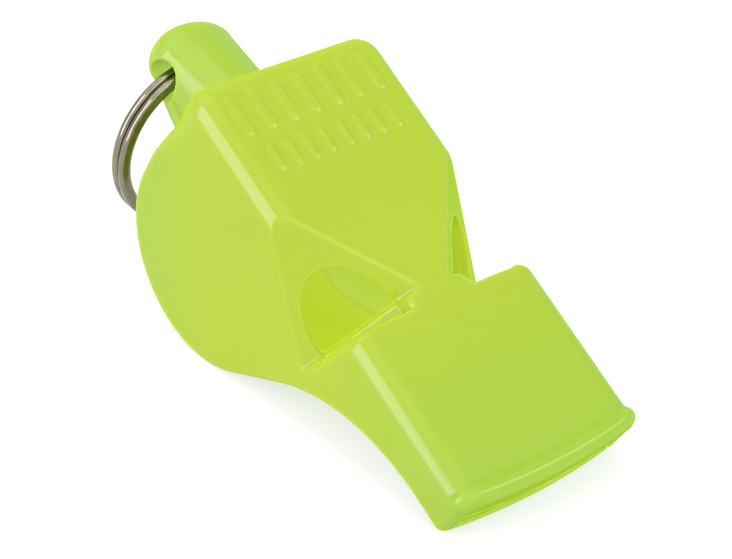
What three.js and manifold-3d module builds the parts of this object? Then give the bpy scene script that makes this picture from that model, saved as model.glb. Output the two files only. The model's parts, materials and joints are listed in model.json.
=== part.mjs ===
// Pealess training whistle: a one-piece body shell with two slanted side windows, a belly cover,
// an inner divider and a split ring hanging in the rear lug. Millimetres, +Z up.
//
// The whistle is drawn in its own level frame: the flat top lies on z = 0, x runs from the rear wall
// to the mouth, and y = 0 is the plane of symmetry. It is then tipped nose down until the belly and
// the mouthpiece both touch the surface, which is how it lies when it is put down.

import * as THREE from "three";
import { ConvexGeometry } from "three/addons/geometries/ConvexGeometry.js";
import { mergeVertices } from "three/addons/utils/BufferGeometryUtils.js";
import Module from "manifold-3d";

const wasm = await Module();
wasm.setup();

// Driving dimensions
const BODY_WIDTH = 21.5;
const MOUTH_X = 45.6;
const MOUTH_DEPTH = 5.4;
const BELLY = { x: 11.3, z: -13.05, r: 10.8 };
const SWEEP = { x: 41.2, r: 21 };
const TOP_ROUND = 2;
const REAR_ROUND = 2.6;
const EDGE_ROUND = 0.5;
const WALL = 1.5;
const FACET_WALL = 1.3;
const COVER_WALL = 1.1;
const CLEARANCE = 0.3;

const NOTCH = { rearX: 13.4, apexX: 25.7, bridge: 3.15, depth: 9.3, mouthX: 27.5 };
const WINDOW = { width: 8, height: 6.4, fromCorner: 6.35, depth: 3.4 };
const AIR_EDGE = { x: 27.25, rearX: 25.2, nearY: 3.5, farY: 9.1, depth: 2 };
const MOUTH_BULGE = 0.75;
const LIP = { r: 0.9, rise: 0.45, inset: 0.9 };

const LUG = {
  tipX: -11.4,
  endX: -8.1,
  rootZ: -12.4,
  endZ: -11.7,
  rootHalfWidth: 4.9,
  rootHalfHeight: 6.3,
  endHalfWidth: 4.5,
  endHalfHeight: 3.3,
  squareness: 2.2,
};
const LUG_HOLE = { x: -6.8, z: -11.9, r: 2 };
const RING = {
  r: 8.5,
  wireRadial: 1.15,
  wireAxial: 0.95,
  pitch: 1.03,
  lift: 0.5,
  lean: 24,
  endGap: 34,
  jog: 24,
  turned: 70,
};

const DUCT = { roof: 1.4, halfRib: 1.3, mouthRoof: 2.9, mouthHeight: 1.1, taperX: 37 };
const FLOOR = { z: -12.2, thickness: 1.2, frontX: 19 };
const RAMP = { x: 30.5, z: -4.8, frontX: 41, frontZ: -3.2, thickness: 0.7 };
const WEB_THICKNESS = 1.2;
const SLOT = { x: 23.2, length: 4.6, width: 8 };

// Worked out from them
const HALF_WIDTH = BODY_WIDTH / 2;
const INNER_HALF = HALF_WIDTH - WALL;
const SWEEP_Z = -MOUTH_DEPTH - SWEEP.r;
const rad = THREE.MathUtils.degToRad;

// Solid helpers -----------------------------------------------------------------------------------

function solid(geometry) {
  const bare = geometry.clone();
  bare.deleteAttribute("normal");
  bare.deleteAttribute("uv");
  const merged = mergeVertices(bare, 1e-4);
  const mesh = new wasm.Mesh({
    numProp: 3,
    vertProperties: new Float32Array(merged.attributes.position.array),
    triVerts: new Uint32Array(merged.index.array),
  });
  return new wasm.Manifold(mesh);
}

function geometryOf(body) {
  const mesh = body.getMesh();
  const geometry = new THREE.BufferGeometry();
  geometry.setAttribute("position", new THREE.BufferAttribute(mesh.vertProperties, 3));
  geometry.setIndex(new THREE.BufferAttribute(mesh.triVerts, 1));
  geometry.computeVertexNormals();
  return geometry;
}

// A side-view shape (x along the whistle, y of the shape is z) made as deep as the given width.
function prism(shape, width, bevel = 0, segments = 10) {
  const geometry = new THREE.ExtrudeGeometry(shape, {
    depth: width - 2 * bevel,
    bevelEnabled: bevel > 0,
    bevelThickness: bevel,
    bevelSize: bevel,
    bevelOffset: -bevel,
    bevelSegments: 3,
    curveSegments: segments,
  });
  geometry.translate(0, 0, -(width - 2 * bevel) / 2);
  geometry.rotateX(Math.PI / 2);
  return geometry;
}

function hull(points) {
  return new ConvexGeometry(points.map((p) => new THREE.Vector3(...p)));
}

function polygon(points) {
  return new THREE.Shape(points.map((p) => new THREE.Vector2(...p)));
}

function mirrored(points) {
  return points.map(([x, y, z]) => [x, -y, z]);
}

// Side profile ------------------------------------------------------------------------------------

// The straight run between the belly circle and the underside sweep touches both.
function tangentAngle(inset) {
  const dx = SWEEP.x - BELLY.x;
  const dz = SWEEP_Z - BELLY.z;
  const reach = BELLY.r - inset + SWEEP.r + inset;
  return Math.atan2(dz, dx) - Math.acos(reach / Math.hypot(dx, dz));
}

// The lower outline from the mouth to the given angle on the belly, moved inwards by inset.
function addUnderside(path, inset, endX, endAngle) {
  const leave = tangentAngle(inset);
  path.lineTo(endX, -MOUTH_DEPTH + inset);
  path.lineTo(SWEEP.x, -MOUTH_DEPTH + inset);
  path.absarc(SWEEP.x, SWEEP_Z, SWEEP.r + inset, Math.PI / 2, Math.PI + leave, false);
  path.absarc(BELLY.x, BELLY.z, BELLY.r - inset, leave, endAngle, true);
}

function bodyProfile() {
  const shape = new THREE.Shape();
  shape.moveTo(TOP_ROUND, 0);
  shape.lineTo(MOUTH_X + 2, 0);
  addUnderside(shape, 0, MOUTH_X + 2, -Math.PI);
  shape.lineTo(0, -TOP_ROUND);
  shape.absarc(TOP_ROUND, -TOP_ROUND, TOP_ROUND, Math.PI, Math.PI / 2, true);
  return shape;
}

// Plan of the body: the mouth end bows outwards, and the two rear upright edges are rounded.
function planShape() {
  const sideX = MOUTH_X - MOUTH_BULGE;
  const bowRadius = (HALF_WIDTH ** 2 + MOUTH_BULGE ** 2) / (2 * MOUTH_BULGE);
  const half = Math.asin(HALF_WIDTH / bowRadius);
  const rearY = HALF_WIDTH - REAR_ROUND;
  const shape = new THREE.Shape();
  shape.moveTo(0, rearY);
  shape.lineTo(0, -rearY);
  shape.absarc(REAR_ROUND, -rearY, REAR_ROUND, Math.PI, 1.5 * Math.PI, false);
  shape.lineTo(sideX, -HALF_WIDTH);
  shape.absarc(MOUTH_X - bowRadius, 0, bowRadius, -half, half, false);
  shape.lineTo(REAR_ROUND, HALF_WIDTH);
  shape.absarc(REAR_ROUND, rearY, REAR_ROUND, Math.PI / 2, Math.PI, false);
  return shape;
}

// Side notches and windows ------------------------------------------------------------------------

// Each notch is a wedge whose two faces meet on the slanted line from the bridge down to the side wall:
// the window facet runs back to the rear corner, the other face forward to the mouthpiece corner.
const bridgePoint = new THREE.Vector3(NOTCH.apexX, NOTCH.bridge / 2, 0);
const lowPoint = new THREE.Vector3(NOTCH.apexX, HALF_WIDTH, -NOTCH.depth);
const rearPoint = new THREE.Vector3(NOTCH.rearX, HALF_WIDTH, 0);
const mouthPoint = new THREE.Vector3(NOTCH.mouthX, HALF_WIDTH, 0);
const apexLine = bridgePoint.clone().sub(lowPoint).normalize();

// Unit vector from the apex line towards a point of one face, square to the apex line.
function faceDirection(point) {
  const offset = point.clone().sub(lowPoint);
  return offset.addScaledVector(apexLine, -offset.dot(apexLine)).normalize();
}

const facetAxis = faceDirection(rearPoint);
const frontAxis = faceDirection(mouthPoint);
const facetNormal = new THREE.Vector3().crossVectors(facetAxis, apexLine).normalize();

// The wedge with both faces moved into the material by the given thickness.
function notchWedge(thickness) {
  const reach = 40;
  const spread = facetAxis.angleTo(frontAxis);
  const bisector = facetAxis.clone().add(frontAxis).normalize();
  const start = lowPoint.clone().addScaledVector(bisector, -thickness / Math.sin(spread / 2));
  const points = [];
  for (const along of [-reach, reach]) {
    const apex = start.clone().addScaledVector(apexLine, along);
    points.push(apex.toArray());
    points.push(apex.clone().addScaledVector(facetAxis, reach).toArray());
    points.push(apex.clone().addScaledVector(frontAxis, reach).toArray());
  }
  return points;
}

function bothWedges(thickness) {
  const points = notchWedge(thickness);
  return solid(hull(points)).add(solid(hull(mirrored(points))));
}

// The arched window in the facet, cut square to it. Its flat side lies on the apex line.
function windowPoints() {
  const base = lowPoint.clone().addScaledVector(apexLine, WINDOW.fromCorner);
  const points = [];
  const steps = 12;
  for (const depth of [-WINDOW.depth, 1]) {
    for (let i = 0; i <= steps; i += 1) {
      const turn = (Math.PI * i) / steps;
      const point = base.clone();
      point.addScaledVector(apexLine, (Math.cos(turn) * WINDOW.width) / 2);
      point.addScaledVector(facetAxis, Math.sin(turn) * WINDOW.height);
      points.push(point.addScaledVector(facetNormal, depth).toArray());
    }
  }
  return points;
}

// Above the window the rear edge of the mouthpiece is cut back square, so the air leaves over a
// straight edge.
function airEdgeBox() {
  const rise = 1;
  const geometry = new THREE.BoxGeometry(
    AIR_EDGE.x - AIR_EDGE.rearX,
    AIR_EDGE.farY - AIR_EDGE.nearY,
    AIR_EDGE.depth + rise,
  );
  geometry.translate(
    (AIR_EDGE.x + AIR_EDGE.rearX) / 2,
    (AIR_EDGE.farY + AIR_EDGE.nearY) / 2,
    (rise - AIR_EDGE.depth) / 2,
  );
  return geometry;
}

// The upper airway narrows from the width of the mouth to the slanted window.
function ductPoints() {
  const points = [];
  for (const y of [DUCT.halfRib, INNER_HALF]) {
    points.push([MOUTH_X + 2, y, -DUCT.mouthRoof]);
    points.push([MOUTH_X + 2, y, -DUCT.mouthRoof - DUCT.mouthHeight]);
  }
  const base = lowPoint.clone().addScaledVector(apexLine, WINDOW.fromCorner);
  for (const side of [-1, 1]) {
    const corner = base.clone().addScaledVector(apexLine, (side * WINDOW.width) / 2);
    points.push([corner.x - 0.4, corner.y, corner.z]);
    points.push([NOTCH.mouthX - 1.5, corner.y, -DUCT.roof]);
  }
  return points;
}

// Rear lug ----------------------------------------------------------------------------------------

function superellipse(angle, power) {
  const c = Math.cos(angle);
  const s = Math.sin(angle);
  return [Math.sign(c) * Math.abs(c) ** (2 / power), Math.sign(s) * Math.abs(s) ** (2 / power)];
}

function lugPoints() {
  const points = [];
  const around = 28;
  const rings = 5;
  for (let i = 0; i < around; i += 1) {
    const [u, v] = superellipse((2 * Math.PI * i) / around, LUG.squareness);
    points.push([WALL, LUG.rootHalfWidth * u, LUG.rootZ + LUG.rootHalfHeight * v]);
    for (let k = 0; k <= rings; k += 1) {
      const turn = (Math.PI / 2) * (k / rings);
      const x = LUG.endX + (LUG.tipX - LUG.endX) * Math.sin(turn);
      const size = Math.cos(turn);
      points.push([x, LUG.endHalfWidth * size * u, LUG.endZ + LUG.endHalfHeight * size * v]);
    }
  }
  return points;
}

function lugHole() {
  const geometry = new THREE.CylinderGeometry(LUG_HOLE.r, LUG_HOLE.r, BODY_WIDTH, 24);
  geometry.translate(LUG_HOLE.x, 0, LUG_HOLE.z);
  return geometry;
}

// Lip ridge along the top of the mouth end --------------------------------------------------------

function lipRidge() {
  const y = HALF_WIDTH - LIP.inset;
  const z = LIP.rise - LIP.r;
  const midX = MOUTH_X - LIP.r;
  const endX = midX - MOUTH_BULGE * (y / HALF_WIDTH) ** 2;
  const path = new THREE.QuadraticBezierCurve3(
    new THREE.Vector3(endX, -y, z),
    new THREE.Vector3(2 * midX - endX, 0, z),
    new THREE.Vector3(endX, y, z),
  );
  const section = new THREE.Shape();
  section.absarc(0, 0, LIP.r, 0, 2 * Math.PI, false);
  return new THREE.ExtrudeGeometry(section, {
    steps: 12,
    bevelEnabled: false,
    curveSegments: 8,
    extrudePath: path,
  });
}

// Moulded pieces ----------------------------------------------------------------------------------

const COVER_START = rad(-140);

function planSolid() {
  const plan = new THREE.ExtrudeGeometry(planShape(), {
    depth: 60,
    bevelEnabled: false,
    curveSegments: 6,
  });
  plan.translate(0, 0, -50);
  return solid(plan);
}

// The cross-section has generous rounds along the two long top edges.
function crossSolid() {
  const shape = new THREE.Shape();
  shape.moveTo(-HALF_WIDTH - 1, -40);
  shape.lineTo(HALF_WIDTH + 1, -40);
  shape.lineTo(HALF_WIDTH + 1, -TOP_ROUND);
  shape.lineTo(HALF_WIDTH, -TOP_ROUND);
  shape.absarc(HALF_WIDTH - TOP_ROUND, -TOP_ROUND, TOP_ROUND, 0, Math.PI / 2, false);
  shape.absarc(TOP_ROUND - HALF_WIDTH, -TOP_ROUND, TOP_ROUND, Math.PI / 2, Math.PI, false);
  shape.lineTo(-HALF_WIDTH - 1, -TOP_ROUND);
  const section = new THREE.ExtrudeGeometry(shape, { depth: 60, bevelEnabled: false, curveSegments: 4 });
  section.rotateX(Math.PI / 2);
  section.rotateZ(Math.PI / 2);
  section.translate(-5, 0, 0);
  return solid(section);
}

function outerBody() {
  const side = solid(prism(bodyProfile(), BODY_WIDTH, EDGE_ROUND));
  return side.intersect(crossSolid()).intersect(planSolid());
}

// Everything between the side walls below the top plate and inside the rear wall. The top plate
// thickens towards the mouth, which leaves a low air slot above the cover.
function cavityProfile() {
  const shape = new THREE.Shape();
  const r = BELLY.r - WALL;
  shape.moveTo(BELLY.x - r, -WALL);
  shape.lineTo(DUCT.taperX, -WALL);
  shape.lineTo(RAMP.frontX, -DUCT.mouthRoof);
  shape.lineTo(MOUTH_X + 3, -DUCT.mouthRoof);
  shape.lineTo(MOUTH_X + 3, -40);
  shape.lineTo(BELLY.x + (BELLY.r + 6) * Math.cos(COVER_START), -40);
  shape.lineTo(
    BELLY.x + (BELLY.r + 6) * Math.cos(COVER_START),
    BELLY.z + (BELLY.r + 6) * Math.sin(COVER_START),
  );
  shape.absarc(BELLY.x, BELLY.z, r, COVER_START, -Math.PI, true);
  return shape;
}

function bodyShell() {
  const cavity = solid(prism(cavityProfile(), 2 * INNER_HALF)).subtract(bothWedges(FACET_WALL));
  const windows = solid(hull(windowPoints())).add(solid(hull(mirrored(windowPoints()))));
  const ducts = solid(hull(ductPoints())).add(solid(hull(mirrored(ductPoints()))));
  let shell = outerBody().add(solid(lipRidge())).add(solid(hull(lugPoints())));
  shell = shell.subtract(bothWedges(0)).subtract(cavity);
  const airEdge = solid(airEdgeBox());
  shell = shell.subtract(airEdge).subtract(airEdge.mirror([0, 1, 0]));
  return shell.subtract(windows).subtract(ducts).subtract(solid(lugHole()));
}

// The cover is the strip of underside between the side walls, with the lower window through it.
function bellyCover() {
  const shape = new THREE.Shape();
  const leave = tangentAngle(0);
  const inset = WALL;
  const start = COVER_START + rad(2);
  shape.moveTo(MOUTH_X + 2, -MOUTH_DEPTH + COVER_WALL);
  addUnderside(shape, 0, MOUTH_X + 2, start);
  shape.absarc(BELLY.x, BELLY.z, BELLY.r - inset, start, leave, false);
  shape.absarc(SWEEP.x, SWEEP_Z, SWEEP.r + COVER_WALL, Math.PI + leave, Math.PI / 2, true);
  const slot = new THREE.BoxGeometry(SLOT.length, SLOT.width, 20);
  slot.translate(SLOT.x + SLOT.length / 2, 0, -16);
  const strip = solid(prism(shape, 2 * (INNER_HALF - CLEARANCE)));
  return strip.intersect(planSolid()).subtract(solid(slot)).subtract(bothWedges(FACET_WALL + CLEARANCE));
}

function chamberInsert() {
  const rear = BELLY.x - BELLY.r + WALL + CLEARANCE;
  const top = FLOOR.z;
  const plate = polygon([
    [rear, top],
    [FLOOR.frontX, top],
    [RAMP.x, RAMP.z],
    [RAMP.frontX, RAMP.frontZ],
    [RAMP.frontX, RAMP.frontZ - RAMP.thickness],
    [RAMP.x, RAMP.z - RAMP.thickness],
    [FLOOR.frontX, top - FLOOR.thickness],
    [rear, top - FLOOR.thickness],
  ]);
  const sunk = RAMP.thickness / 2;
  const web = polygon([
    [rear, -WALL - CLEARANCE],
    [DUCT.taperX, -WALL - CLEARANCE],
    [RAMP.frontX, RAMP.frontZ - sunk],
    [RAMP.x, RAMP.z - sunk],
    [FLOOR.frontX, top - sunk],
    [rear, top - sunk],
  ]);
  const floor = solid(prism(plate, 2 * (INNER_HALF - CLEARANCE)));
  const body = floor.add(solid(prism(web, WEB_THICKNESS)));
  return body.subtract(bothWedges(FACET_WALL + CLEARANCE));
}

// Split ring --------------------------------------------------------------------------------------

// One wire in two turns lying side by side. It crosses from one turn to the other in a short jog,
// and its two ends stop just short of that jog.
class RingCurve extends THREE.Curve {
  getPoint(t, target = new THREE.Vector3()) {
    const gap = rad(RING.endGap);
    const jog = rad(RING.jog);
    const angle = gap + t * (4 * Math.PI - 2 * gap);
    const across = THREE.MathUtils.smoothstep(angle - 2 * Math.PI, -jog, jog);
    const axial = (across - 0.5) * RING.pitch;
    return target.set(RING.r * Math.cos(angle), RING.r * Math.sin(angle), axial);
  }
}

function ringGeometry() {
  const section = new THREE.Shape();
  section.absellipse(0, 0, RING.wireAxial / 2, RING.wireRadial / 2, 0, 2 * Math.PI, false);
  return new THREE.ExtrudeGeometry(section, {
    steps: 72,
    bevelEnabled: false,
    curveSegments: 5,
    extrudePath: new RingCurve(),
  });
}

// Assembly ----------------------------------------------------------------------------------------

function plastic(name, geometry) {
  const material = new THREE.MeshStandardMaterial({ color: 0xb6dc2e, roughness: 0.3, metalness: 0 });
  const mesh = new THREE.Mesh(geometry, material);
  mesh.name = name;
  return mesh;
}

// The ring hangs from the hole. Its plane holds the hole's axis, and leans from the body's vertical.
function splitRing() {
  const steel = new THREE.MeshStandardMaterial({ color: 0xb9b6ae, roughness: 0.25, metalness: 1 });
  const ring = new THREE.Mesh(ringGeometry(), steel);
  ring.name = "split_ring";
  ring.position.x = RING.r - RING.lift;
  ring.rotation.z = rad(RING.turned);
  const swing = new THREE.Group();
  swing.add(ring);
  swing.position.set(LUG_HOLE.x, 0, LUG_HOLE.z);
  swing.rotation.y = rad(90 - RING.lean);
  return swing;
}

const level = new THREE.Group();
level.add(plastic("body_shell", geometryOf(bodyShell())));
level.add(plastic("belly_cover", geometryOf(bellyCover())));
level.add(plastic("chamber_insert", geometryOf(chamberInsert())));
level.add(splitRing());

// Nose down: the surface touches the belly circle and the lower edge of the mouth.
const mouthEdge = new THREE.Vector2(MOUTH_X - BELLY.x, -MOUTH_DEPTH - BELLY.z);
level.rotation.y = mouthEdge.angle() + Math.asin(BELLY.r / mouthEdge.length());

// The origin is the middle of the underside of the object's box.
const box = new THREE.Box3().setFromObject(level, true);
const middle = box.getCenter(new THREE.Vector3());
level.position.set(-middle.x, -middle.y, -box.min.z);

const whistle = new THREE.Group();
whistle.add(level);

export default whistle;
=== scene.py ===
"""Pealess training whistle: fluorescent moulded plastic body with a steel split ring, on a pale floor.

The moulded pieces are drawn as distance fields in the whistle's own level frame, in millimetres. The
flat top lies on z = 0, x runs from the rear wall to the mouth, and y = 0 is the plane of symmetry. Each
field is turned into a mesh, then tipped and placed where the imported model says.
"""

import json
import math

import bmesh
import bpy
import numpy as np
from mathutils import Matrix, Vector


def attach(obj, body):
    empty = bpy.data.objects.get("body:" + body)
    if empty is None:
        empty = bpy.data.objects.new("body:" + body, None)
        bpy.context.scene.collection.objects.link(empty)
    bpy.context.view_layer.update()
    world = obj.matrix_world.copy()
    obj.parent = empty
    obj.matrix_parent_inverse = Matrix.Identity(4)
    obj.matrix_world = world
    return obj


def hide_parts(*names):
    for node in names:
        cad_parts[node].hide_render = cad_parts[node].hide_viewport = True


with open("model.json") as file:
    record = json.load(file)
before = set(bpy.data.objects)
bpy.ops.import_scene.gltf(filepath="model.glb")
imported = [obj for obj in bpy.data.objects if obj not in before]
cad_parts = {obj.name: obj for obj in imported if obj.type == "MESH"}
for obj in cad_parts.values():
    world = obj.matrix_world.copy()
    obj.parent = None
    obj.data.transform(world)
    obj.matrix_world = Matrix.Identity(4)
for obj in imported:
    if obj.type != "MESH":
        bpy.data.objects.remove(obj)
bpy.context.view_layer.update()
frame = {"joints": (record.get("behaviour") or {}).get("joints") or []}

MM = 0.001

# Driving dimensions of the mouldings, in millimetres, the same as in the CAD part
BODY_WIDTH = 21.5
MOUTH_X = 45.6
MOUTH_DEPTH = 5.4
BELLY_X, BELLY_Z, BELLY_R = 11.3, -13.05, 10.8
SWEEP_X, SWEEP_R = 41.2, 21.0
MOUTH_BULGE = 0.75
WALL = 1.5
FACET_WALL = 1.3
COVER_WALL = 1.1

# Air at the seams, less than in the CAD part
SEAM = 0.07

# Rounds; the CAD part leaves most of these edges sharp
TOP_ROUND = 2.0
REAR_ROUND = 2.9
EDGE_ROUND = 0.6
MOUTH_ROUND = 0.9
FACET_ROUND = 0.16
FRONT_ROUND = 1.0
EDGE_BLEND = 1.5
LEDGE_ROUND = 0.5
RIM_ROUND = 0.2
AIR_EDGE_ROUND = 0.45
ARCH_ROUND = 0.2
HOLLOW_ROUND = 0.15
BORE_ROUND = 0.35
LUG_FILLET = 0.6
WEB_FILLET = 0.4
STRIP_ROUND = 0.08
THIN_ROUND = 0.1

# The large round of the rear upright edges is full above one depth and gone below the other
REAR_ROUND_GONE_Z, REAR_ROUND_FULL_Z = -11, -5
REAR_REACH_X = 6

# Side notches, windows and airways
NOTCH_REAR_X, NOTCH_APEX_X, NOTCH_MOUTH_X = 13.4, 25.7, 27.5
NOTCH_BRIDGE = 3.15
NOTCH_DEPTH = 9.3
WINDOW_WIDTH, WINDOW_HEIGHT, WINDOW_FROM_CORNER = 8.0, 6.4, 6.35
WINDOW_CUT, WINDOW_RISE = 3.4, 2.0
AIR_EDGE_X, AIR_EDGE_REAR_X = 27.25, 25.2
AIR_EDGE_NEAR_Y, AIR_EDGE_FAR_Y, AIR_EDGE_DEPTH = 3.5, 9.1, 2.0
DUCT_ROOF, DUCT_HALF_RIB = 1.4, 1.3
DUCT_PAST_MOUTH, DUCT_BEHIND_WINDOW, DUCT_ROOF_BACK = 2.0, 0.4, 1.5
MOUTH_ROOF, MOUTH_SLOT_HEIGHT, ROOF_TAPER_X = 2.9, 1.1, 37.0

# Divider, lower window and belly cover
FLOOR_Z, FLOOR_THICKNESS, FLOOR_FRONT_X = -12.2, 1.2, 19.0
RAMP_X, RAMP_Z, RAMP_FRONT_X, RAMP_FRONT_Z, RAMP_THICKNESS = 30.5, -4.8, 41.0, -3.2, 0.7
WEB_THICKNESS = 1.2
SLOT_X, SLOT_LENGTH, SLOT_WIDTH = 23.2, 4.6, 8.0
COVER_START = math.radians(-140)
COVER_SEAM_ANGLE = math.radians(1)
COVER_THIN_X, COVER_THICK_X = 26, 16

# Lip and lug
LIP_R, LIP_RISE, LIP_FILLET = 0.9, 0.45, 0.25
LIP_FULL_Z, LIP_SINK_Z, LIP_END_Z = -0.2, -0.6 * TOP_ROUND, -1.5 * TOP_ROUND
LUG_TIP_X, LUG_END_X = -11.4, -8.1
LUG_ROOT_Z, LUG_END_Z = -12.4, -11.7
LUG_ROOT_HALF = (4.9, 6.3)
LUG_END_HALF = (4.5, 3.3)
LUG_POWER = 2.2
HOLE_X, HOLE_Z, HOLE_R = -6.8, -11.9, 2.0

HALF = BODY_WIDTH / 2
INNER_HALF = HALF - WALL
SWEEP_Z = -MOUTH_DEPTH - SWEEP_R

# Split ring: two turns of one wire, and how the ring hangs in the lug; angles are in degrees
RING_R, WIRE_RADIAL, WIRE_AXIAL, RING_PITCH = 8.45, 1.25, 0.95, 1.0
RING_LIFT, RING_LEAN, RING_TURNED = 0.5, 24.0, 70.0
RING_END_GAP, RING_JOG = 34.0, 24.0
WIRE_SQUARENESS = 2.5


# Placing: the level frame is tipped nose down until belly and mouth edge touch the floor ------------

edge_x, edge_z = MOUTH_X - BELLY_X, -MOUTH_DEPTH - BELLY_Z
TIP = math.atan2(edge_z, edge_x) + math.asin(BELLY_R / math.hypot(edge_x, edge_z))
TURN = Matrix.Rotation(TIP, 4, "Y")
hinge = Vector(frame["joints"][0]["pos_m"])
LEVEL = Matrix.Translation(hinge) @ TURN @ Matrix.Translation(Vector((-HOLE_X, 0, -HOLE_Z)) * MM)


# Distance fields -----------------------------------------------------------------------------------

FAR_AWAY = 1e3


def round_max(a, b, r):
    """Overlap of two solids with the edge between them rounded to radius r."""
    corner = np.hypot(np.maximum(a + r, 0), np.maximum(b + r, 0))
    return np.minimum(np.maximum(a, b), -r) + corner


def round_min(a, b, r):
    """Union of two solids with the inner corner between them filled to radius r."""
    return -round_max(-a, -b, r)


def smoothstep(low, high, value):
    """Rises smoothly from 0 at low to 1 at high."""
    t = np.clip((value - low) / (high - low), 0, 1)
    return t * t * (3 - 2 * t)


def plane(point, normal):
    """Distance from a plane that is square to the side view."""
    nx, nz = normal
    return lambda x, z: (x - point[0]) * nx + (z - point[1]) * nz


leave = math.atan2(SWEEP_Z - BELLY_Z, SWEEP_X - BELLY_X)
leave -= math.acos((BELLY_R + SWEEP_R) / math.hypot(SWEEP_X - BELLY_X, SWEEP_Z - BELLY_Z))
LEAVE_N = (math.cos(leave), math.sin(leave))
RUN_START = (BELLY_X + BELLY_R * LEAVE_N[0], BELLY_Z + BELLY_R * LEAVE_N[1])
RUN_END = (SWEEP_X - SWEEP_R * LEAVE_N[0], SWEEP_Z - SWEEP_R * LEAVE_N[1])
RUN_LENGTH = math.dist(RUN_START, RUN_END)


def under_distance(x, z):
    """Distance from the outline of rear wall, belly, straight run, sweep and mouthpiece underside."""
    best = np.full(np.broadcast(x, z).shape, FAR_AWAY, np.float32)

    def offer(distance, valid):
        better = valid & (np.abs(distance) < np.abs(best))
        best[better] = distance[better]

    rear_foot = (BELLY_X - BELLY_R, BELLY_Z)
    rise = (rear_foot[0], rear_foot[1] + TOP_ROUND)
    length = math.hypot(*rise)
    rear = plane(rear_foot, (rise[1] / length, -rise[0] / length))(x, z)
    offer(rear, z >= BELLY_Z)
    bx, bz = x - BELLY_X, z - BELLY_Z
    offer(np.hypot(bx, bz) - BELLY_R, (bz <= 0) & (np.arctan2(bz, bx) <= leave))
    along = -(x - RUN_START[0]) * LEAVE_N[1] + (z - RUN_START[1]) * LEAVE_N[0]
    run = plane(RUN_START, LEAVE_N)(x, z)
    offer(run, (along >= 0) & (along <= RUN_LENGTH))
    sx, sz = x - SWEEP_X, z - SWEEP_Z
    past_run = sx * LEAVE_N[1] - sz * LEAVE_N[0] <= 0
    offer(SWEEP_R - np.hypot(sx, sz), (sx <= 0) & (sz > 0) & past_run)
    offer(-MOUTH_DEPTH - z, x >= SWEEP_X)
    return best


BOW_R = (HALF**2 + MOUTH_BULGE**2) / (2 * MOUTH_BULGE)


def mouth_distance(x, y):
    """The mouth end bows outwards in plan."""
    return np.hypot(x - (MOUTH_X - BOW_R), y) - BOW_R


def unit(v):
    return v / np.linalg.norm(v)


BRIDGE_POINT = np.array([NOTCH_APEX_X, NOTCH_BRIDGE / 2, 0])
LOW_POINT = np.array([NOTCH_APEX_X, HALF, -NOTCH_DEPTH])
APEX_AXIS = unit(BRIDGE_POINT - LOW_POINT)


def face_axis(point):
    """Direction from the notch's inner line towards a point of one face, square to that line."""
    offset = np.array(point) - LOW_POINT
    return unit(offset - APEX_AXIS * (offset @ APEX_AXIS))


FACET_AXIS = face_axis([NOTCH_REAR_X, HALF, 0])
FRONT_AXIS = face_axis([NOTCH_MOUTH_X, HALF, 0])
FACET_NORMAL = unit(np.cross(FACET_AXIS, APEX_AXIS))
FRONT_NORMAL = unit(np.cross(APEX_AXIS, FRONT_AXIS))


def slanted(x, y, z, point, normal):
    """Distance from any plane."""
    return (x - point[0]) * normal[0] + (y - point[1]) * normal[1] + (z - point[2]) * normal[2]


def notch_faces(x, y, z):
    """The window's facet and the mouthpiece's rear face, which meet on the notch's inner line."""
    facet = slanted(x, y, z, LOW_POINT, FACET_NORMAL)
    front = slanted(x, y, z, LOW_POINT, FRONT_NORMAL)
    return facet, front


def convex_planes(points):
    """The outward planes (point, normal) of the convex body around a few points."""
    pts = np.array(points, float)
    planes = []
    for i in range(len(pts)):
        for j in range(i + 1, len(pts)):
            for k in range(j + 1, len(pts)):
                normal = np.cross(pts[j] - pts[i], pts[k] - pts[i])
                if np.linalg.norm(normal) < 1e-9:
                    continue
                normal = unit(normal)
                side = (pts - pts[i]) @ normal
                if side.max() < 1e-6:
                    planes.append((pts[i], normal))
                elif side.min() > -1e-6:
                    planes.append((pts[i], -normal))
    unique = {tuple(np.round([*n, n @ p], 5)): (p, n) for p, n in planes}
    return list(unique.values())


def convex_distance(x, y, z, planes):
    """Distance from the convex body inside the planes."""
    return np.maximum.reduce([slanted(x, y, z, p, n) for p, n in planes])


# Each airway narrows from the width of the mouth to the slanted window
WINDOW_BASE = LOW_POINT + APEX_AXIS * WINDOW_FROM_CORNER
duct_points = [(MOUTH_X + DUCT_PAST_MOUTH, y, z) for y in (DUCT_HALF_RIB, INNER_HALF)
               for z in (-MOUTH_ROOF, -MOUTH_ROOF - MOUTH_SLOT_HEIGHT)]
for end in (-1, 1):
    corner = WINDOW_BASE + APEX_AXIS * end * WINDOW_WIDTH / 2
    duct_points.append((corner[0] - DUCT_BEHIND_WINDOW, corner[1], corner[2]))
    duct_points.append((NOTCH_MOUTH_X - DUCT_ROOF_BACK, corner[1], -DUCT_ROOF))
DUCT_PLANES = convex_planes(duct_points)


def ellipse_distance(u, v, half_u, half_v):
    """Near the outline this is the distance from an ellipse."""
    q = np.sqrt((u / half_u) ** 2 + (v / half_v) ** 2) + 1e-6
    slope = np.sqrt((u / half_u**2) ** 2 + (v / half_v**2) ** 2) / q + 1e-3
    return (q - 1) / slope


def window_distance(x, y, z):
    """The arched window, cut into the facet at right angles."""
    u = slanted(x, y, z, WINDOW_BASE, APEX_AXIS)
    v = slanted(x, y, z, WINDOW_BASE, FACET_AXIS)
    w = slanted(x, y, z, WINDOW_BASE, FACET_NORMAL)
    arch = ellipse_distance(u, v, WINDOW_WIDTH / 2, WINDOW_HEIGHT)
    arch = round_max(arch, -v, ARCH_ROUND)
    return np.maximum(np.maximum(arch, -w - WINDOW_CUT), w - WINDOW_RISE)


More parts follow.
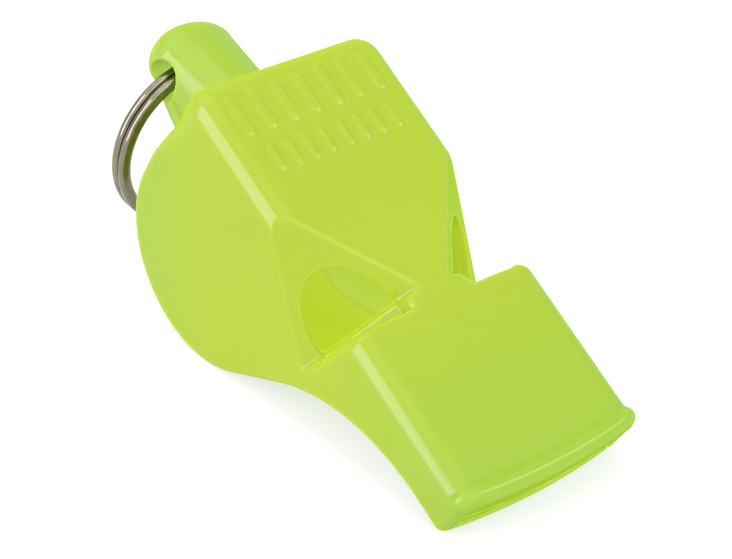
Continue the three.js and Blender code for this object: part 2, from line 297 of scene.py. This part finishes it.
def air_edge_distance(x, y, z):
    """The square step above the window that leaves a straight edge on the mouthpiece."""
    middle, half = (AIR_EDGE_NEAR_Y + AIR_EDGE_FAR_Y) / 2, (AIR_EDGE_FAR_Y - AIR_EDGE_NEAR_Y) / 2
    across = np.maximum(np.abs(y - middle) - half, AIR_EDGE_REAR_X - x)
    return np.maximum(np.maximum(across, x - AIR_EDGE_X), -AIR_EDGE_DEPTH - z)


def lug_distance(x, y, z):
    """A lug of superelliptic section that narrows to a domed end."""
    t = np.clip((WALL - x) / (WALL - LUG_END_X), 0, 1)
    half_w = LUG_ROOT_HALF[0] + (LUG_END_HALF[0] - LUG_ROOT_HALF[0]) * t
    half_h = LUG_ROOT_HALF[1] + (LUG_END_HALF[1] - LUG_ROOT_HALF[1]) * t
    middle = LUG_ROOT_Z + (LUG_END_Z - LUG_ROOT_Z) * t
    a = np.abs(y) / half_w
    b = np.abs(z - middle) / half_h
    q = (a**LUG_POWER + b**LUG_POWER) ** (1 / LUG_POWER) + 1e-6
    steep_y = (a / q) ** (LUG_POWER - 1) / half_w
    steep_z = (b / q) ** (LUG_POWER - 1) / half_h
    depth = LUG_END_X - LUG_TIP_X
    s = np.maximum(LUG_END_X - x, 0) / depth
    total = np.hypot(q, s)
    slope = np.sqrt((q / total) ** 2 * (steep_y**2 + steep_z**2) + (s / total / depth) ** 2)
    return np.maximum((total - 1) / slope, x - WALL)


def bar_distance(x, y, start_x, end_x, bar_y, r):
    """A bar along x in plan, with round ends."""
    past_end = x - np.clip(x, start_x, end_x)
    return np.hypot(past_end, y - bar_y) - r


# Two rows of short raised bars on the top plate, a plain grip pattern. Each row has its start, its end,
# half the width of its bars, and how far they lie from the plane of symmetry.
RIB_ROWS = ((2.9, 6.3, 0.52, (0.0, 2.55, 5.1, 7.65)), (8.6, 10.5, 0.4, (1.1, 3.0, 4.9, 6.8)))
RIB_RISE = 0.13


def rib_distance(x, y, z):
    """All raised bars together."""
    best = np.full(np.broadcast(x, y, z).shape, FAR_AWAY, np.float32)
    for start_x, end_x, r, offsets in RIB_ROWS:
        for offset in offsets:
            best = np.minimum(best, bar_distance(x, np.abs(y), start_x, end_x, offset, r))
    return round_max(best, np.abs(z) - RIB_RISE, THIN_ROUND)


def outer_distance(x, y, z):
    """The outside of the body without its notches, and its lower outline alone."""
    side = np.abs(y) - HALF
    under = under_distance(x, z)
    rear = smoothstep(REAR_ROUND_GONE_Z, REAR_ROUND_FULL_Z, z) * (x < REAR_REACH_X)
    across = round_max(side, z, TOP_ROUND)
    body = round_max(across, under, EDGE_ROUND + (REAR_ROUND - EDGE_ROUND) * rear)
    mouth = mouth_distance(x, y)
    body = round_max(body, mouth, MOUTH_ROUND)
    # The lip stands proud along the top, follows the rounded long edges and ends on the side walls
    rise = LIP_RISE * smoothstep(-TOP_ROUND, LIP_FULL_Z, z)
    sunk = LIP_R * smoothstep(LIP_SINK_Z, LIP_END_Z, z)
    lip = np.hypot(mouth + LIP_R, across - rise + LIP_R) - LIP_R + sunk
    return round_min(body, lip, LIP_FILLET), under


def shell_distance(x, y, z):
    """The body shell: walls, notches, windows, airways, lug and raised bars."""
    y = np.abs(y)
    outer, under = outer_distance(x, y, z)
    facet, front = notch_faces(x, y, z)
    notch = round_min(facet, front, LEDGE_ROUND)
    edge = FACET_ROUND + (FRONT_ROUND - FACET_ROUND) * smoothstep(0, EDGE_BLEND, facet - front)
    outer = round_max(outer, notch, edge)
    outer = round_min(outer, lug_distance(x, y, z), LUG_FILLET)
    outer = np.minimum(outer, rib_distance(x, y, z))
    # The hollow between the side walls: open below from the end of the rear wall onwards
    cos, sin = math.cos(COVER_START), math.sin(COVER_START)
    kept = (x - BELLY_X) * sin - (z - BELLY_Z) * cos
    open_below = np.minimum(under + WALL, kept)
    roof = np.interp(x, [ROOF_TAPER_X, RAMP_FRONT_X], [-WALL, -MOUTH_ROOF])
    hollow = np.maximum(np.maximum(y - INNER_HALF, z - roof), open_below)
    hollow = np.maximum(hollow, np.minimum(facet, front) + FACET_WALL)
    shell = round_max(outer, -hollow, HOLLOW_ROUND)
    window = np.minimum(window_distance(x, y, z), convex_distance(x, y, z, DUCT_PLANES))
    shell = round_max(shell, -air_edge_distance(x, y, z), AIR_EDGE_ROUND)
    shell = round_max(shell, -window, RIM_ROUND)
    hole = np.hypot(x - HOLE_X, z - HOLE_Z) - HOLE_R
    return round_max(shell, -hole, BORE_ROUND)


def cover_distance(x, y, z):
    """The strip of underside between the side walls, with the lower window through it."""
    y = np.abs(y)
    outer, under = outer_distance(x, y, z)
    start = COVER_START + COVER_SEAM_ANGLE
    beyond = (x - BELLY_X) * math.sin(start) - (z - BELLY_Z) * math.cos(start)
    thick = COVER_WALL + (WALL - COVER_WALL) * smoothstep(COVER_THIN_X, COVER_THICK_X, x)
    strip = round_max(under, -under - thick, STRIP_ROUND)
    strip = round_max(strip, y - (INNER_HALF - SEAM), STRIP_ROUND)
    strip = np.maximum(strip, np.maximum(beyond, np.where(x < BELLY_X, z - BELLY_Z, beyond)))
    strip = np.maximum(strip, outer)
    slot = np.maximum(np.abs(x - SLOT_X - SLOT_LENGTH / 2) - SLOT_LENGTH / 2, y - SLOT_WIDTH / 2)
    return round_max(strip, -slot, RIM_ROUND)


def insert_distance(x, y, z):
    """The divider: a floor that ramps up towards the mouth, and a web on the plane of symmetry."""
    y = np.abs(y)
    rear = BELLY_X - BELLY_R + WALL + SEAM
    xs = [rear, FLOOR_FRONT_X, RAMP_X, RAMP_FRONT_X]
    top = np.interp(x, xs, [FLOOR_Z, FLOOR_Z, RAMP_Z, RAMP_FRONT_Z])
    thick = np.interp(x, xs, [FLOOR_THICKNESS, FLOOR_THICKNESS, RAMP_THICKNESS, RAMP_THICKNESS])
    span = np.maximum(rear - x, x - RAMP_FRONT_X)
    plate = round_max(z - top, top - thick - z, THIN_ROUND)
    plate = round_max(plate, y - (INNER_HALF - SEAM), THIN_ROUND)
    roof = np.interp(x, [ROOF_TAPER_X, RAMP_FRONT_X], [-WALL, -MOUTH_ROOF])
    web = np.maximum(y - WEB_THICKNESS / 2, np.maximum(z - roof + SEAM, top - thick / 2 - z))
    both = round_max(round_min(plate, web, WEB_FILLET), span, THIN_ROUND)
    facet, front = notch_faces(x, y, z)
    return np.maximum(both, np.minimum(facet, front) + FACET_WALL + SEAM)


# Meshing -------------------------------------------------------------------------------------------

# The twelve edges of a grid cell, between corners whose numbers differ in one bit
EDGES = [(a, b) for a in range(8) for b in range(a + 1, 8) if bin(a ^ b).count("1") == 1]
SLABS = 8


def sample(field, axes):
    """The field on a grid that is symmetric about y = 0, worked out for one half in slabs."""
    xs, ys, zs = axes
    half = len(ys) // 2
    slabs = []
    for part in np.array_split(xs, SLABS):
        gx, gy, gz = np.meshgrid(part, ys[half:], zs, indexing="ij")
        slabs.append(field(gx, gy, gz).astype(np.float32))
    upper = np.concatenate(slabs)
    return np.concatenate([upper[:, ::-1], upper], axis=1)


def surface_net(field, low, high, cell):
    """Vertices and quads of the surface where the field is zero."""
    def places(axis):
        steps = math.ceil((high[axis] - low[axis]) / cell) + 1
        return (low[axis] + cell * np.arange(steps)).astype(np.float32)

    xs, zs = places(0), places(2)
    half = math.ceil(high[1] / cell) + 1
    ys = ((np.arange(-half, half) + 0.5) * cell).astype(np.float32)
    value = sample(field, (xs, ys, zs))
    nx, ny, nz = value.shape
    inside = value < 0
    corners = [(c >> 2 & 1, c >> 1 & 1, c & 1) for c in range(8)]

    def shifted(a, c):
        dx, dy, dz = corners[c]
        return a[dx:nx - 1 + dx, dy:ny - 1 + dy, dz:nz - 1 + dz]

    count = sum(shifted(inside, c).astype(np.int8) for c in range(8))
    cells = np.argwhere((count > 0) & (count < 8))
    at = tuple(cells.T)
    index = np.full(count.shape, -1, np.int64)
    index[at] = np.arange(len(cells))
    total = np.zeros((len(cells), 3))
    hits = np.zeros(len(cells))
    local = [shifted(value, c)[at] for c in range(8)]
    for a, b in EDGES:
        va, vb = local[a], local[b]
        crossed = (va < 0) != (vb < 0)
        t = np.where(crossed, va / np.where(crossed, va - vb, 1), 0)[:, None]
        pa, pb = np.array(corners[a], float), np.array(corners[b], float)
        total += np.where(crossed[:, None], pa + t * (pb - pa), 0)
        hits += crossed
    points = np.array([xs[0], ys[0], zs[0]]) + cell * (cells + total / hits[:, None])
    quads = []
    for axis in range(3):
        ahead = [slice(None)] * 3
        behind = [slice(None)] * 3
        ahead[axis], behind[axis] = slice(1, None), slice(None, -1)
        first = inside[tuple(behind)]
        change = np.argwhere(first != inside[tuple(ahead)])
        flip = first[tuple(change.T)]
        u, v = (axis + 1) % 3, (axis + 2) % 3
        around = []
        for du, dv in ((-1, -1), (0, -1), (0, 0), (-1, 0)):
            cell_at = change.copy()
            cell_at[:, u] += du
            cell_at[:, v] += dv
            around.append(index[tuple(cell_at.T)])
        around = np.stack(around, 1)
        around[~flip] = around[~flip][:, ::-1]
        quads.append(around)
    return points, np.concatenate(quads)


def relax(points, quads, field, rounds):
    """Evens the vertices out and puts them back on the surface."""
    reach = 0.03
    least_square = 0.05
    longest_move = 0.15
    kept_share = 0.4

    def gradient(p):
        g = []
        for axis in range(3):
            step = np.zeros(3)
            step[axis] = reach
            g.append((field(*(p + step).T) - field(*(p - step).T)) / (2 * reach))
        return np.stack(g, 1)

    def settle(p):
        g = gradient(p)
        square = np.maximum((g**2).sum(1), least_square)
        move = g * (field(*p.T) / square)[:, None]
        length = np.linalg.norm(move, axis=1, keepdims=True)
        return p - move * np.minimum(1, longest_move / np.maximum(length, 1e-9))

    for _ in range(rounds):
        middle = points[quads].mean(1)
        total = np.zeros_like(points)
        hits = np.zeros(len(points))
        for corner in range(4):
            for axis in range(3):
                total[:, axis] += np.bincount(quads[:, corner], middle[:, axis], len(points))
            hits += np.bincount(quads[:, corner], minlength=len(points))
        points = points * kept_share + (1 - kept_share) * total / np.maximum(hits, 1)[:, None]
        points = settle(settle(points))
    return points


def make_object(name, points, faces, matrix):
    """A smooth-shaded object from points in millimetres and faces of equal size."""
    mesh = bpy.data.meshes.new(name)
    mesh.vertices.add(len(points))
    mesh.vertices.foreach_set("co", np.asarray(points, np.float32).ravel() * MM)
    size = faces.shape[1]
    mesh.loops.add(len(faces) * size)
    mesh.loops.foreach_set("vertex_index", faces.astype(np.int32).ravel())
    mesh.polygons.add(len(faces))
    mesh.polygons.foreach_set("loop_start", np.arange(0, len(faces) * size, size, dtype=np.int32))
    mesh.polygons.foreach_set("use_smooth", np.full(len(faces), True))
    mesh.update(calc_edges=True)
    mesh.validate()
    mesh.transform(matrix)
    obj = bpy.data.objects.new(name, mesh)
    bpy.context.scene.collection.objects.link(obj)
    return obj


CELL = 0.22
MARGIN, MOUTH_MARGIN = 0.6, 0.8
BODY_LOW = (LUG_TIP_X - MARGIN, -HALF - MARGIN, BELLY_Z - BELLY_R - MARGIN)
BODY_HIGH = (MOUTH_X + MOUTH_MARGIN, HALF + MARGIN, LIP_RISE + MARGIN)
RELAX_ROUNDS = 2


def moulded(name, field):
    """The mesh of one moulding's distance field, in its place."""
    points, quads = surface_net(field, BODY_LOW, BODY_HIGH, CELL)
    points = relax(points, quads, field, RELAX_ROUNDS)
    return make_object(name, points, quads, LEVEL)


shell = moulded("body_shell_moulding", shell_distance)
cover = moulded("belly_cover_moulding", cover_distance)
insert = moulded("chamber_divider_moulding", insert_distance)


# Split ring ----------------------------------------------------------------------------------------

def ring_point(t):
    """Middle of the wire, in the ring's own frame: two turns side by side with a short crossing."""
    gap, jog = math.radians(RING_END_GAP), math.radians(RING_JOG)
    angle = gap + t * (4 * math.pi - 2 * gap)
    across = smoothstep(-jog, jog, angle - 2 * math.pi)
    axial = (across - 0.5) * RING_PITCH
    return np.array([RING_R * math.cos(angle), RING_R * math.sin(angle), float(axial)])


def split_ring():
    """The wire swept with a rounded, slightly flattened section; its two ends are cut and softened."""
    steps, around = 420, 28
    small_step = 1e-3
    end_rows, end_taper = 3, 0.22
    rows = []
    for i in range(steps + 1):
        t = i / steps
        centre = ring_point(t)
        ahead = unit(ring_point(min(t + small_step, 1)) - ring_point(max(t - small_step, 0)))
        outward = unit(np.array([centre[0], centre[1], 0]))
        outward = unit(outward - ahead * (outward @ ahead))
        axial = np.cross(ahead, outward)
        end = min(i, steps - i)
        size = 1 - end_taper * (1 - min(end / end_rows, 1)) ** 2
        angle = np.linspace(0, 2 * math.pi, around, endpoint=False)
        c, s = np.cos(angle), np.sin(angle)
        u = np.sign(c) * np.abs(c) ** (2 / WIRE_SQUARENESS) * WIRE_RADIAL / 2 * size
        v = np.sign(s) * np.abs(s) ** (2 / WIRE_SQUARENESS) * WIRE_AXIAL / 2 * size
        rows.append(centre + u[:, None] * outward + v[:, None] * axial)
    points = np.concatenate(rows)
    i, j = np.meshgrid(np.arange(steps), np.arange(around), indexing="ij")
    a = i * around + j
    b = i * around + (j + 1) % around
    quads = np.stack([a, a + around, b + around, b], -1).reshape(-1, 4)
    swing = Matrix.Translation(Vector((HOLE_X, 0, HOLE_Z)) * MM)
    lean = Matrix.Rotation(math.radians(90 - RING_LEAN), 4, "Y")
    own = Matrix.Translation(Vector((RING_R - RING_LIFT, 0, 0)) * MM)
    turned = Matrix.Rotation(math.radians(RING_TURNED), 4, "Z")
    ring = make_object("split_ring_wire", points, quads, LEVEL @ swing @ lean @ own @ turned)
    close_ends(ring, around)
    return ring


def close_ends(ring, around):
    """Closes the wire with a cap on its first and its last row of vertices."""
    bm = bmesh.new()
    bm.from_mesh(ring.data)
    bm.verts.ensure_lookup_table()
    count = len(bm.verts)
    bm.faces.new([bm.verts[i] for i in range(around)])
    bm.faces.new([bm.verts[i] for i in range(count - 1, count - 1 - around, -1)])
    bmesh.ops.recalc_face_normals(bm, faces=bm.faces)
    bm.to_mesh(ring.data)
    bm.free()


ring = split_ring()


# Materials -----------------------------------------------------------------------------------------

def nodes_of(name):
    """A new material with its node tree and its shader."""
    material = bpy.data.materials.new(name)
    material.use_nodes = True
    tree = material.node_tree
    shader = tree.nodes["Principled BSDF"]
    return material, tree, shader


def add(tree, kind, **values):
    """A new node with some of its inputs set."""
    node = tree.nodes.new(kind)
    for name, value in values.items():
        node.inputs[name].default_value = value
    return node


# Noise patterns: features in a metre
DRIFT_SCALE, WEAR_SCALE, GRAIN_SCALE = 70.0, 900.0, 1600.0
SMUDGE_SCALE, WIRE_GRAIN_SCALE = 420.0, 3000.0


def noise(tree, coords, scale, detail, roughness=0.55):
    node = add(tree, "ShaderNodeTexNoise", Scale=scale, Detail=detail, Roughness=roughness)
    tree.links.new(coords, node.inputs["Vector"])
    return node.outputs["Fac"]


def ramp(tree, value, stops):
    """Turns a value into a colour, between stops of position and colour."""
    node = tree.nodes.new("ShaderNodeValToRGB")
    elements = node.color_ramp.elements
    while len(elements) < len(stops):
        elements.new(0.5)
    for element, (position, colour) in zip(elements, stops):
        element.position = position
        element.color = (*colour, 1)
    tree.links.new(value, node.inputs["Fac"])
    return node.outputs["Color"]


def grey(value):
    return (value, value, value)


def multiply(tree, one, other):
    node = add(tree, "ShaderNodeMixRGB", Fac=1.0)
    node.blend_type = "MULTIPLY"
    tree.links.new(one, node.inputs["Color1"])
    tree.links.new(other, node.inputs["Color2"])
    return node.outputs["Color"]


def fine_bump(tree, shader, height, strength, distance):
    """Relief on the shader's normal; the distance is in metres."""
    bump = add(tree, "ShaderNodeBump", Strength=strength, Distance=distance)
    tree.links.new(height, bump.inputs["Height"])
    tree.links.new(bump.outputs["Normal"], shader.inputs["Normal"])


# Painted glow: emission that stands in for the pigment's fluorescence and for fill light, yellow in the
# middle of the body, greener towards both ends.
# The stops count along the body from the lug's end, BODY_REAR_X in metres, to the mouthpiece.
BODY_REAR_X, BODY_LENGTH = -0.0245, 0.055
GLOW_LUG = (0.29, 0.46, 0.032)
GLOW_MIDDLE = (0.355, 0.465, 0.013)
GLOW_MOUTH = (0.25, 0.435, 0.022)
GLOW_STOPS = ((0.02, GLOW_LUG), (0.3, GLOW_MIDDLE), (0.62, GLOW_MIDDLE), (0.95, GLOW_MOUTH))

# Painted shade and light on the glow: weaker on faces that point down, greener on the far side away from
# the key lamp, slightly bluer on faces towards it
PAINTED_SHADE_DOWN_TO_UP = ((0.0, (0.34, 0.56, 0.75)), (0.46, grey(1.0)))
NEAR_SIDE_PAINTED_LIGHT, FAR_FACET_PAINTED_SHADE, FAR_SIDE_PAINTED_SHADE = (0.97, 0.985, 1.8), (0.68, 0.93, 3.2), (0.84, 0.96, 1.9)
PAINTED_SHADE_NEAR_TO_FAR = ((0.0, NEAR_SIDE_PAINTED_LIGHT), (0.17, grey(1.0)), (0.5, grey(1.0)), (0.8, FAR_FACET_PAINTED_SHADE), (1.0, FAR_SIDE_PAINTED_SHADE))

# Painted light in recesses: the glow is raised, most in blue, where ambient occlusion finds walls close
# by
PAINTED_RECESS_LIGHT = ((0.1, (1.16, 1.13, 3.0)), (0.9, grey(1.0)))
RECESS_REACH, RECESS_SAMPLES = 0.006, 8


def along_body(tree, coords):
    """0 at the lug's end of the body, 1 at the mouthpiece's end."""
    start, shrink = (-BODY_REAR_X / BODY_LENGTH, 0, 0), (1 / BODY_LENGTH, 1, 1)
    mapped = add(tree, "ShaderNodeMapping", Location=start, Scale=shrink)
    tree.links.new(coords, mapped.inputs["Vector"])
    along = tree.nodes.new("ShaderNodeTexGradient")
    tree.links.new(mapped.outputs["Vector"], along.inputs["Vector"])
    return along.outputs["Fac"]


def from_normal(tree, part):
    """A part of the normal, from -1 to 1, brought to 0 to 1."""
    mapped = tree.nodes.new("ShaderNodeMapRange")
    mapped.inputs["From Min"].default_value = -1
    tree.links.new(part, mapped.inputs["Value"])
    return mapped.outputs["Result"]


def painted_glow(tree, texture, gain):
    """Painted glow, coloured by the place along the body, with painted shade by the way a face turns and
    painted light in recesses.
    """
    stops = [(spot, [c * g for c, g in zip(colour, gain)]) for spot, colour in GLOW_STOPS]
    glow = ramp(tree, along_body(tree, texture.outputs["Object"]), stops)
    normal = tree.nodes.new("ShaderNodeSeparateXYZ")
    tree.links.new(texture.outputs["Normal"], normal.inputs["Vector"])
    painted_shade_by_height = ramp(tree, from_normal(tree, normal.outputs["Z"]), PAINTED_SHADE_DOWN_TO_UP)
    painted_shade_by_side = ramp(tree, from_normal(tree, normal.outputs["Y"]), PAINTED_SHADE_NEAR_TO_FAR)
    recess = add(tree, "ShaderNodeAmbientOcclusion", Distance=RECESS_REACH)
    recess.only_local = True
    recess.samples = RECESS_SAMPLES
    painted_recess_glow = ramp(tree, recess.outputs["AO"], PAINTED_RECESS_LIGHT)
    return multiply(tree, multiply(tree, glow, multiply(tree, painted_shade_by_height, painted_shade_by_side)), painted_recess_glow)


def plastic(name, deep, light, gain):
    """Fluorescent moulded plastic: soft colour drift, a faint grain, fine wear in the gloss, and a
    painted glow in its emission.
    """
    material, tree, shader = nodes_of(name)
    texture = tree.nodes.new("ShaderNodeTexCoord")
    coords = texture.outputs["Object"]
    drift = noise(tree, coords, DRIFT_SCALE, detail=3.0)
    colour = ramp(tree, drift, ((0.3, deep), (0.7, light)))
    tree.links.new(colour, shader.inputs["Base Color"])
    wear = noise(tree, coords, WEAR_SCALE, detail=6.0, roughness=0.65)
    gloss = ramp(tree, wear, ((0.3, grey(0.16)), (0.75, grey(0.22))))
    tree.links.new(gloss, shader.inputs["Roughness"])
    grain = noise(tree, coords, GRAIN_SCALE, detail=3.0)
    fine_bump(tree, shader, grain, strength=0.05, distance=0.00004)
    facing = tree.nodes.new("ShaderNodeLayerWeight").outputs["Facing"]
    sheen = ramp(tree, facing, ((0.22, grey(0.5)), (0.45, grey(0.2)), (0.74, grey(0.0))))
    tree.links.new(sheen, shader.inputs["Specular IOR Level"])
    shader.inputs["Subsurface Weight"].default_value = 1.0
    shader.inputs["Subsurface Radius"].default_value = (1.0, 1.0, 0.35)
    shader.inputs["Subsurface Scale"].default_value = 0.0025
    shader.inputs["IOR"].default_value = 1.46
    # Painted glow: emission standing in for fluorescence and for fill light, with painted shade and
    # painted recess light in it
    tree.links.new(painted_glow(tree, texture, gain), shader.inputs["Emission Color"])
    shader.inputs["Emission Strength"].default_value = 1.0
    return material


def steel():
    """Nickel-plated spring steel: a fine grain, small smudges and a slightly warm tint."""
    material, tree, shader = nodes_of("nickel_steel")
    coords = tree.nodes.new("ShaderNodeTexCoord").outputs["Object"]
    smudge = noise(tree, coords, SMUDGE_SCALE, detail=5.0)
    colour = ramp(tree, smudge, ((0.3, (0.17, 0.165, 0.11)), (0.7, (0.29, 0.275, 0.195))))
    tree.links.new(colour, shader.inputs["Base Color"])
    rough = ramp(tree, smudge, ((0.3, grey(0.07)), (0.75, grey(0.15))))
    tree.links.new(rough, shader.inputs["Roughness"])
    grain = noise(tree, coords, WIRE_GRAIN_SCALE, detail=2.0)
    fine_bump(tree, shader, grain, strength=0.08, distance=0.00003)
    shader.inputs["Metallic"].default_value = 1.0
    return material


# Painted light: the divider's painted glow is made brighter than the outside's, most in blue, so the
# inside seen through the windows looks lit
BODY_PAINTED_GLOW_GAIN, INSERT_PAINTED_GLOW_GAIN = (1, 1, 1), (1.2, 1.2, 1.6)

body_plastic = plastic("fluorescent_plastic_painted_glow", (0.088, 0.118, 0.006), (0.098, 0.130, 0.008), BODY_PAINTED_GLOW_GAIN)
insert_plastic = plastic("divider_plastic_painted_glow", (0.085, 0.115, 0.006), (0.095, 0.126, 0.008), INSERT_PAINTED_GLOW_GAIN)
ring_steel = steel()

for piece, node, body, slot, material in (
    (shell, "body_shell", "whistle", "body_plastic", body_plastic),
    (cover, "belly_cover", "whistle", "body_plastic", body_plastic),
    (insert, "chamber_insert", "whistle", "insert_plastic", insert_plastic),
    (ring, "split_ring", "ring", "ring_steel", ring_steel),
):
    piece.data.materials.append(material)
    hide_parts(node)
    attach(piece, body)


# Stage ---------------------------------------------------------------------------------------------

FLOOR_HALF = 2.5
LIT_POINT = (0, 0, 0.012)


def make_floor():
    """A pale floor with a faint light of its own, which keeps it even."""
    corners = [(x * FLOOR_HALF, y * FLOOR_HALF, 0) for x, y in ((-1, -1), (1, -1), (1, 1), (-1, 1))]
    mesh = bpy.data.meshes.new("studio_floor")
    mesh.from_pydata(corners, [], [(0, 1, 2, 3)])
    floor = bpy.data.objects.new("studio_floor", mesh)
    bpy.context.scene.collection.objects.link(floor)
    material, _, shader = nodes_of("floor_paper")
    shader.inputs["Base Color"].default_value = (0.36, 0.36, 0.36, 1)
    shader.inputs["Roughness"].default_value = 0.9
    shader.inputs["Specular IOR Level"].default_value = 0.1
    shader.inputs["Emission Color"].default_value = (1, 1, 1, 1)
    shader.inputs["Emission Strength"].default_value = 0.6
    mesh.materials.append(material)


def aim(obj, place, target, roll=0.0):
    """Puts a lamp or camera at a place, looking at the target, turned about its own axis by roll."""
    away = (Vector(place) - Vector(target)).to_track_quat("Z", "Y")
    obj.location = place
    obj.rotation_mode = "QUATERNION"
    obj.rotation_quaternion = away @ Matrix.Rotation(roll, 3, "Z").to_quaternion()


def spherical(target, azimuth, elevation, distance):
    """The point that lies a distance away from the target, in the direction of two angles in degrees."""
    a, e = math.radians(azimuth), math.radians(elevation)
    away = Vector((math.cos(e) * math.cos(a), math.cos(e) * math.sin(a), math.sin(e)))
    return Vector(target) + away * distance


def softbox(name, azimuth, elevation, distance, size, power, colour=(1, 1, 1)):
    """A rectangular lamp that looks at the object."""
    light = bpy.data.lights.new(name, "AREA")
    light.shape = "RECTANGLE"
    light.size, light.size_y = size
    light.energy = power
    light.color = colour
    lamp = bpy.data.objects.new(name, light)
    bpy.context.scene.collection.objects.link(lamp)
    aim(lamp, spherical(LIT_POINT, azimuth, elevation, distance), LIT_POINT)


make_floor()

# Azimuth is counted from the mouthpiece's direction, the camera's being about -43 degrees.
softbox("key_left", azimuth=-98, elevation=20, distance=0.8, size=(0.5, 0.94), power=6.4,
        colour=(1.0, 0.84, 1.14))
softbox("top_fill", azimuth=195, elevation=62, distance=0.9, size=(0.9, 0.9), power=2.4)
softbox("lip_light", azimuth=48.6, elevation=40.2, distance=1.0, size=(0.24, 0.24), power=0.75)

# The room is evenly bright, with a broad soft glow in front of and above the mouthpiece.
LOBE_CENTRE = (0.76, -0.10, 0.64)
LOBE_RADIUS = 0.95
LOBE_PEAK = 2.9
LOBE_FLOOR = 0.31


def make_room():
    """The light of the room, by direction."""
    world = bpy.data.worlds.new("studio")
    bpy.context.scene.world = world
    world.use_nodes = True
    sky = world.node_tree
    background = sky.nodes["Background"]
    directions = sky.nodes.new("ShaderNodeTexCoord").outputs["Generated"]
    start, shrink = [-c / LOBE_RADIUS for c in LOBE_CENTRE], [1 / LOBE_RADIUS] * 3
    lobe = add(sky, "ShaderNodeMapping", Location=start, Scale=shrink)
    sky.links.new(directions, lobe.inputs["Vector"])
    falloff = sky.nodes.new("ShaderNodeTexGradient")
    falloff.gradient_type = "SPHERICAL"
    sky.links.new(lobe.outputs["Vector"], falloff.inputs["Vector"])
    brightness = ramp(sky, falloff.outputs["Fac"], ((0.0, grey(LOBE_FLOOR)), (1.0, grey(1.0))))
    sky.links.new(brightness, background.inputs["Color"])
    background.inputs["Strength"].default_value = LOBE_PEAK


make_room()

CAMERA_TARGET = (0.00218, -0.00031, 0.01058)
CAMERA_AZIMUTH, CAMERA_ELEVATION, CAMERA_ROLL = -42.87, 32.61, 3.69
CAMERA_DISTANCE = 0.19744
CAMERA_LENS = 107.1

camera_data = bpy.data.cameras.new("camera")
camera_data.lens = CAMERA_LENS
camera_data.sensor_width = 36.0
camera_data.clip_start = 0.01
camera = bpy.data.objects.new("camera", camera_data)
bpy.context.scene.collection.objects.link(camera)
camera_place = spherical(CAMERA_TARGET, CAMERA_AZIMUTH, CAMERA_ELEVATION, CAMERA_DISTANCE)
aim(camera, camera_place, CAMERA_TARGET, math.radians(CAMERA_ROLL))
bpy.context.scene.camera = camera
bpy.context.scene.view_settings.view_transform = "Standard"
